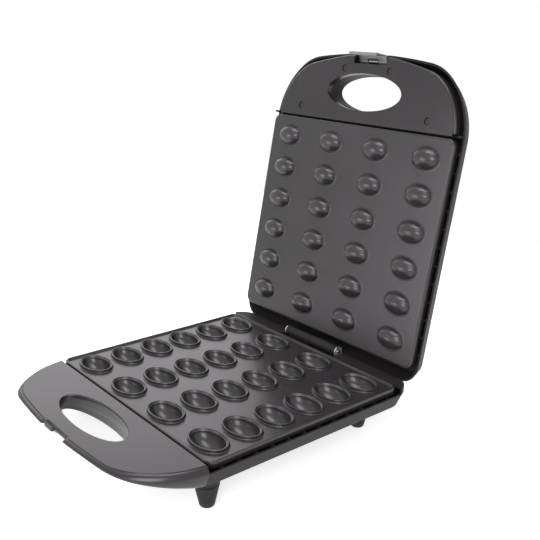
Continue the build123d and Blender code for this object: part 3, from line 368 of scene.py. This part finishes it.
# Lower grip: one smooth plastic handle that clips on the front of the housing, with a dark catch in the
# pocket at its tip. Its rolled edge runs into the wall, and its underside slants up to the front. The
# faces of edge and wall look inwards, which draws the thin line along the rim.
HALF_WIDTH = 126.0
SHOULDER_Y = -103.0
PANEL_REAR = -107.6
GRIP_RADII = (73.0, 50.0)
GRIP_TURNS = (math.radians(53.0), math.radians(82.3))
OUTLINE_STEPS = 26
POCKET_HALF = 19.5
POCKET_Y = -171.8
GRIP_TOP = -2.0
GRIP_DEPTH = 24.0
TIP_DEPTH = 4.6
SLANT_LENGTH = 66.0
ROLL_WIDTH = 5.0
ROLL_DEPTH = 6.0
WALL_DEPTH = 8.0
WALL_LEAN = math.tan(math.radians(24.0))
HOLE_HALF = (49.6, 18.0)
HOLE_Y = -138.0
smooth_grip = finish("smooth_grip", grey(0.014, 0.1), grey(0.026, 0.1), 0.25, 2600.0, 0.06, specular=0.4)


def grip_plan(inset, pocket=False):
    """Points of a grip's outline, from its right end round the front to its left end."""
    side, corner = GRIP_RADII[0] - inset, GRIP_RADII[1] - inset
    first, second = GRIP_TURNS
    middle = (HALF_WIDTH - inset - side, SHOULDER_Y)
    turn = (middle[0] + (side - corner) * math.cos(first), middle[1] - (side - corner) * math.sin(first))
    start = (turn[0] + corner * math.cos(second), turn[1] - corner * math.sin(second))
    front = start[0] / math.cos(second)
    front_middle = (0.0, start[1] + front * math.sin(second))
    arcs = (
        (middle, side, math.asin((SHOULDER_Y - PANEL_REAR) / side), first),
        (turn, corner, first, second),
        (front_middle, front, second, math.pi / 2),
    )
    points = []
    for (x, y), radius, begin, end in arcs:
        for i in range(OUTLINE_STEPS):
            angle = begin + (end - begin) * i / OUTLINE_STEPS
            points.append((x + radius * math.cos(angle), y - radius * math.sin(angle)))
    if pocket:
        points = [(x, y) for x, y in points if x > POCKET_HALF + 1.5]
        tip_y = points[-1][1]
        floor_y = POCKET_Y + 0.2 + inset * 0.5
        points += [(POCKET_HALF + 0.7, tip_y - 0.05), (POCKET_HALF, tip_y + 0.9)]
        points += [(POCKET_HALF - 0.3, POCKET_Y - 0.8), (POCKET_HALF - 0.9, floor_y)]
        points += [(9.0, floor_y), (0.0, floor_y)]
    else:
        points.append((0.0, front_middle[1] - front))
    return points + [(-x, y) for x, y in reversed(points[:-1])]


def underside(y):
    """Depth of the grip's underside below the parting plane."""
    share = min(1.0, max(0.0, (y - PANEL_REAR + SLANT_LENGTH) / SLANT_LENGTH))
    return TIP_DEPTH + (GRIP_DEPTH - TIP_DEPTH) * share


plan = grip_plan(0.0, True)
strips = []
for inset, share in ((5.0, 0.0), (3.6, 0.07), (2.3, 0.23), (1.2, 0.45), (0.5, 0.7), (0.1, 0.9), (0.0, 1.0)):
    strips.append([])
    for (x, y), (flat_x, flat_y) in zip(plan, grip_plan(ROLL_WIDTH, True)):
        roll = min(ROLL_DEPTH, (underside(y) + GRIP_TOP) * 0.6)
        keep = inset / ROLL_WIDTH
        strips[-1].append(Vector((x + (flat_x - x) * keep, y + (flat_y - y) * keep, GRIP_TOP - roll * share)))
for rise, tuck in ((1.0, 0.0), (0.55, 0.1), (0.2, 0.45), (0.0, 1.0)):
    strips.append([])
    for (x, y), (inner_x, inner_y) in zip(plan, grip_plan(1.0, True)):
        depth = underside(y)
        rounding = min(4.0, 0.22 * depth)
        inset = max(0.0, depth - rounding * rise - WALL_DEPTH) * WALL_LEAN + rounding * tuck
        place = Vector((x + (inner_x - x) * inset, y + (inner_y - y) * inset, 0))
        place.z = -underside(place.y) + rounding * rise
        strips[-1].append(place)
hole = [
    oval(HOLE_HALF[0] + grow, HOLE_HALF[1] + grow, GRIP_TOP - drop, HOLE_Y)
    for grow, drop in ((1.1, 0), (0.35, 0.3), (0, 1.1))
]
hole.append([Vector((point.x, point.y, -underside(point.y))) for point in hole[-1]])
bm = bmesh.new()
borders = skin(bm, strips, False)
walls = bm.faces[:]
rings = skin(bm, hole)
for border, ring in zip(borders, rings):
    bmesh.ops.triangle_fill(bm, use_beauty=True, edges=row_edges(bm, border) + row_edges(bm, ring))
bmesh.ops.recalc_face_normals(bm, faces=bm.faces)
bmesh.ops.reverse_faces(bm, faces=walls)
lower_grip = to_object(bm, "lower_grip", lower_place, "base", smooth_grip)
dress(smooth_grip, "base_handle_panel", "lid_handle_panel")
dress(finish("dark_catch", grey(0.006), grey(0.01), 0.45, 2600.0, 0.2), "catch")

# Housings: two charcoal plastic mouldings with drafted walls, screwed to their plates. The lower one ends
# behind the grip, and has a low sill under each of the lid's hinge knuckles, so that no light shows there.
SILL_SPANS = ((-46.2, -38.0), (-8.5, 25.8))
SILL_MIDDLE = (118.4, -7.35)
SILL_SIZE = (5.4, 3.7)
FLAT_NORMAL = 0.9998
SHARP_ANGLE = math.radians(30.0)


def closed_copy(name, place):
    """Copy of a piece's mesh in the closed layout, with its rounded faces smooth and its flat ones flat."""
    bm = bmesh.new()
    bm.from_mesh(nodes[name].data)
    bmesh.ops.remove_doubles(bm, verts=bm.verts, dist=0.000002)
    bmesh.ops.transform(bm, matrix=place.inverted() @ Matrix.Scale(1 / MM, 4), verts=bm.verts)
    bm.normal_update()
    for face in bm.faces:
        face.smooth = max(abs(part) for part in face.normal) < FLAT_NORMAL
    return bm


bm = closed_copy("base_shell", lower_place)
bmesh.ops.bisect_plane(
    bm,
    geom=bm.verts[:] + bm.edges[:] + bm.faces[:],
    plane_co=(0, PANEL_REAR, 0),
    plane_no=(0, -1, 0),
    clear_outer=True,
)
for start, end in SILL_SPANS:
    place = Matrix.Translation(((start + end) / 2, *SILL_MIDDLE))
    bmesh.ops.create_cube(bm, size=1.0, matrix=place @ Matrix.Diagonal((end - start, *SILL_SIZE, 1.0)))
lower_housing = to_object(bm, "lower_housing", lower_place, "base", moulded_housing)
lower_housing.data.set_sharp_from_angle(angle=SHARP_ANGLE)
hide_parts("base_shell")
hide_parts("base_handle_panel")
dress(moulded_housing, "base_shell", "lid_shell")

# Hinge and lamps: a steel pin through the knuckles of both halves, kept in by a clip at each end whose light
# grey is partly the steel's own tone and partly painted highlight of the lit barrel ends, and two small lamps
# behind clear lenses in the lid's outer face, red for power and green for ready.
dress(zinc_steel, "hinge_pin")
# Clip finish: a light grey that is partly steel and partly painted highlight, for the lit rims at the
# barrel's ends.
dress(finish("hinge_clip", grey(0.45), grey(0.6), 0.32, 1600.0, 0.12, 0.6), "hinge_clips")
dress(
    finish("power_lens", (0.4, 0.01, 0.008), (0.5, 0.02, 0.012), 0.12, 600.0, 0.03, coat=0.5),
    "power_lamp_lens",
)
dress(
    finish("ready_lens", (0.01, 0.22, 0.03), (0.02, 0.3, 0.05), 0.12, 600.0, 0.03, coat=0.5),
    "ready_lamp_lens",
)
dress(finish("lamp_glass", (0.6, 0.42, 0.3), (0.7, 0.5, 0.36), 0.1, 600.0, 0.03, coat=0.5), "indicator_lamps")

# Lid's grip panel: smooth plastic, held by four blackened screws in small recesses. Its edge is drawn in
# from the wall, more towards the sides, which leaves a dark groove and a thin rim round it.
PANEL_DRAW = 5.0
PANEL_LEAST_DRAW = 0.6
EDGE_REACH = 5.5
bm = closed_copy("lid_handle_panel", upper_place)
plan = [Vector(point) for point in grip_plan(0.0)]
for vert in bm.verts:
    spot = vert.co.xy
    gaps = [(point - spot).length for point in plan]
    nearest = gaps.index(min(gaps))
    before, after = plan[max(0, nearest - 1)], plan[min(len(plan) - 1, nearest + 1)]
    along = (after - before).normalized()
    inward = Vector((along.y, -along.x))
    if inward.dot(Vector((0, -100.0)) - plan[nearest]) < 0:
        inward = -inward
    if (spot - plan[nearest]).dot(inward) < EDGE_REACH:
        share = min(1.0, max(0.0, (abs(spot.x) - 30.0) / 45.0))
        vert.co.xy += inward * (PANEL_LEAST_DRAW + (PANEL_DRAW - PANEL_LEAST_DRAW) * share)
upper_panel = to_object(bm, "upper_panel", upper_place, "lid", smooth_grip)
upper_panel.data.set_sharp_from_angle(angle=SHARP_ANGLE)
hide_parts("lid_handle_panel")
dress(
    finish("blackened_steel", grey(0.02), grey(0.035), 0.4, 1800.0, 0.1, metallic=0.5),
    "lid_panel_screws",
)

# Latch: a silver-grey clip of thin sheet that swings on a steel pin in the lid's front edge. A torsion
# spring brings it back, and its outer face lies a little under the lid's wall.
CLIP_BEND_Y = -174.6
CLIP_THINNING = 1.9
silver_latch = finish("silver_latch", grey(0.2, -0.02), grey(0.27, -0.02), 0.32, 2400.0, 0.1, 0.35)
bm = closed_copy("latch", upper_place)
for vert in bm.verts:
    vert.co.y += CLIP_THINNING * min(1.0, max(0.0, (CLIP_BEND_Y - vert.co.y) / 2.0))
latch_clip = to_object(bm, "latch_clip", upper_place, "latch", silver_latch)
latch_clip.data.set_sharp_from_angle(angle=SHARP_ANGLE)
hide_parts("latch")
dress(silver_latch, "latch")
dress(zinc_steel, "latch_pin", "latch_spring")

# Floor: a small pale sheet under the pads that keeps the maker's soft shadow, and glows a little, so that
# it runs into the white surroundings.
FLOOR_HALF = 0.8
FLOOR_GLOW = 0.7
bm = bmesh.new()
bmesh.ops.create_grid(bm, x_segments=1, y_segments=1, size=FLOOR_HALF)
floor_mesh = bpy.data.meshes.new("studio_floor")
bm.to_mesh(floor_mesh)
bm.free()
floor = bpy.data.objects.new("studio_floor", floor_mesh)
floor.location.z = -0.0005
pale_floor = finish("pale_floor", grey(0.78), grey(0.82), 0.7, 8.0, 0.0)
pale_floor.node_tree.nodes["Principled BSDF"].inputs["Emission Color"].default_value = (1.0, 1.0, 1.0, 1.0)
pale_floor.node_tree.nodes["Principled BSDF"].inputs["Emission Strength"].default_value = FLOOR_GLOW
floor_mesh.materials.append(pale_floor)
bpy.context.scene.collection.objects.link(floor)

# Surroundings: a white backdrop, seen directly, in reflections and through clear pieces, and a dim room
# that lights the rest.
ROOM_STRENGTH = 0.3
world = bpy.data.worlds.new("studio_air")
world.use_nodes = True
tree, links = world.node_tree.nodes, world.node_tree.links
room = tree["Background"]
room.inputs["Color"].default_value = (1.0, 0.97, 1.0, 1.0)
room.inputs["Strength"].default_value = ROOM_STRENGTH
backdrop = tree.new("ShaderNodeBackground")
backdrop.inputs["Color"].default_value = (1.0, 1.0, 1.0, 1.0)
seen = tree.new("ShaderNodeLightPath")
mirrored = tree.new("ShaderNodeMath")
mirrored.operation = "MAXIMUM"
links.new(seen.outputs["Is Glossy Ray"], mirrored.inputs[0])
links.new(seen.outputs["Is Transmission Ray"], mirrored.inputs[1])
shown = tree.new("ShaderNodeMath")
shown.operation = "MAXIMUM"
links.new(seen.outputs["Is Camera Ray"], shown.inputs[0])
links.new(mirrored.outputs["Value"], shown.inputs[1])
either = tree.new("ShaderNodeMixShader")
links.new(shown.outputs["Value"], either.inputs["Fac"])
links.new(room.outputs["Background"], either.inputs[1])
links.new(backdrop.outputs["Background"], either.inputs[2])
links.new(either.outputs["Shader"], tree["World Output"].inputs["Surface"])
bpy.context.scene.world = world


# Lamps: four soft panels of light, the strongest at the right front, one above, a low one in front of the
# grip and a weak one behind the lid.
def soft_box(name, place, target, size, power):
    """Panel of faintly warm light, in watts, that faces its target."""
    lamp = bpy.data.lights.new(name, "AREA")
    lamp.shape = "RECTANGLE"
    lamp.size, lamp.size_y = size
    lamp.energy = power
    lamp.color = (1.0, 0.955, 1.0)
    holder = bpy.data.objects.new(name, lamp)
    holder.location = place
    holder.rotation_euler = (Vector(target) - Vector(place)).to_track_quat("-Z", "Y").to_euler()
    bpy.context.scene.collection.objects.link(holder)


soft_box("key_panel", (1.25, -1.5, 1.05), (0, 0, 0.2), (1.0, 1.2), 27.0)
soft_box("top_panel", (0.0, -0.1, 2.0), (0, -0.05, 0.05), (1.3, 1.0), 20.0)
soft_box("front_panel", (-0.75, -1.8, 0.25), (0, 0.1, 0.2), (0.8, 0.9), 10.0)
soft_box("back_panel", (-1.75, 0.6, 1.0), (0, -0.05, 0.05), (1.4, 0.9), 5.5)

# Camera: at the right front, a little above the open plates, where the lower plate is seen at a low angle
# and the lid stands behind it.
CAMERA_PLACE = (0.55046, -0.41921, 0.36813)
CAMERA_TURN = (72.52, -0.872, 50.203)
camera_data = bpy.data.cameras.new("camera")
camera_data.sensor_width = 36.0
camera_data.lens = 52.66
camera_data.clip_start = 0.01
camera = bpy.data.objects.new("camera", camera_data)
camera.location = CAMERA_PLACE
camera.rotation_euler = [math.radians(angle) for angle in CAMERA_TURN]
bpy.context.scene.collection.objects.link(camera)
bpy.context.scene.camera = camera
bpy.context.scene.view_settings.view_transform = "Standard"
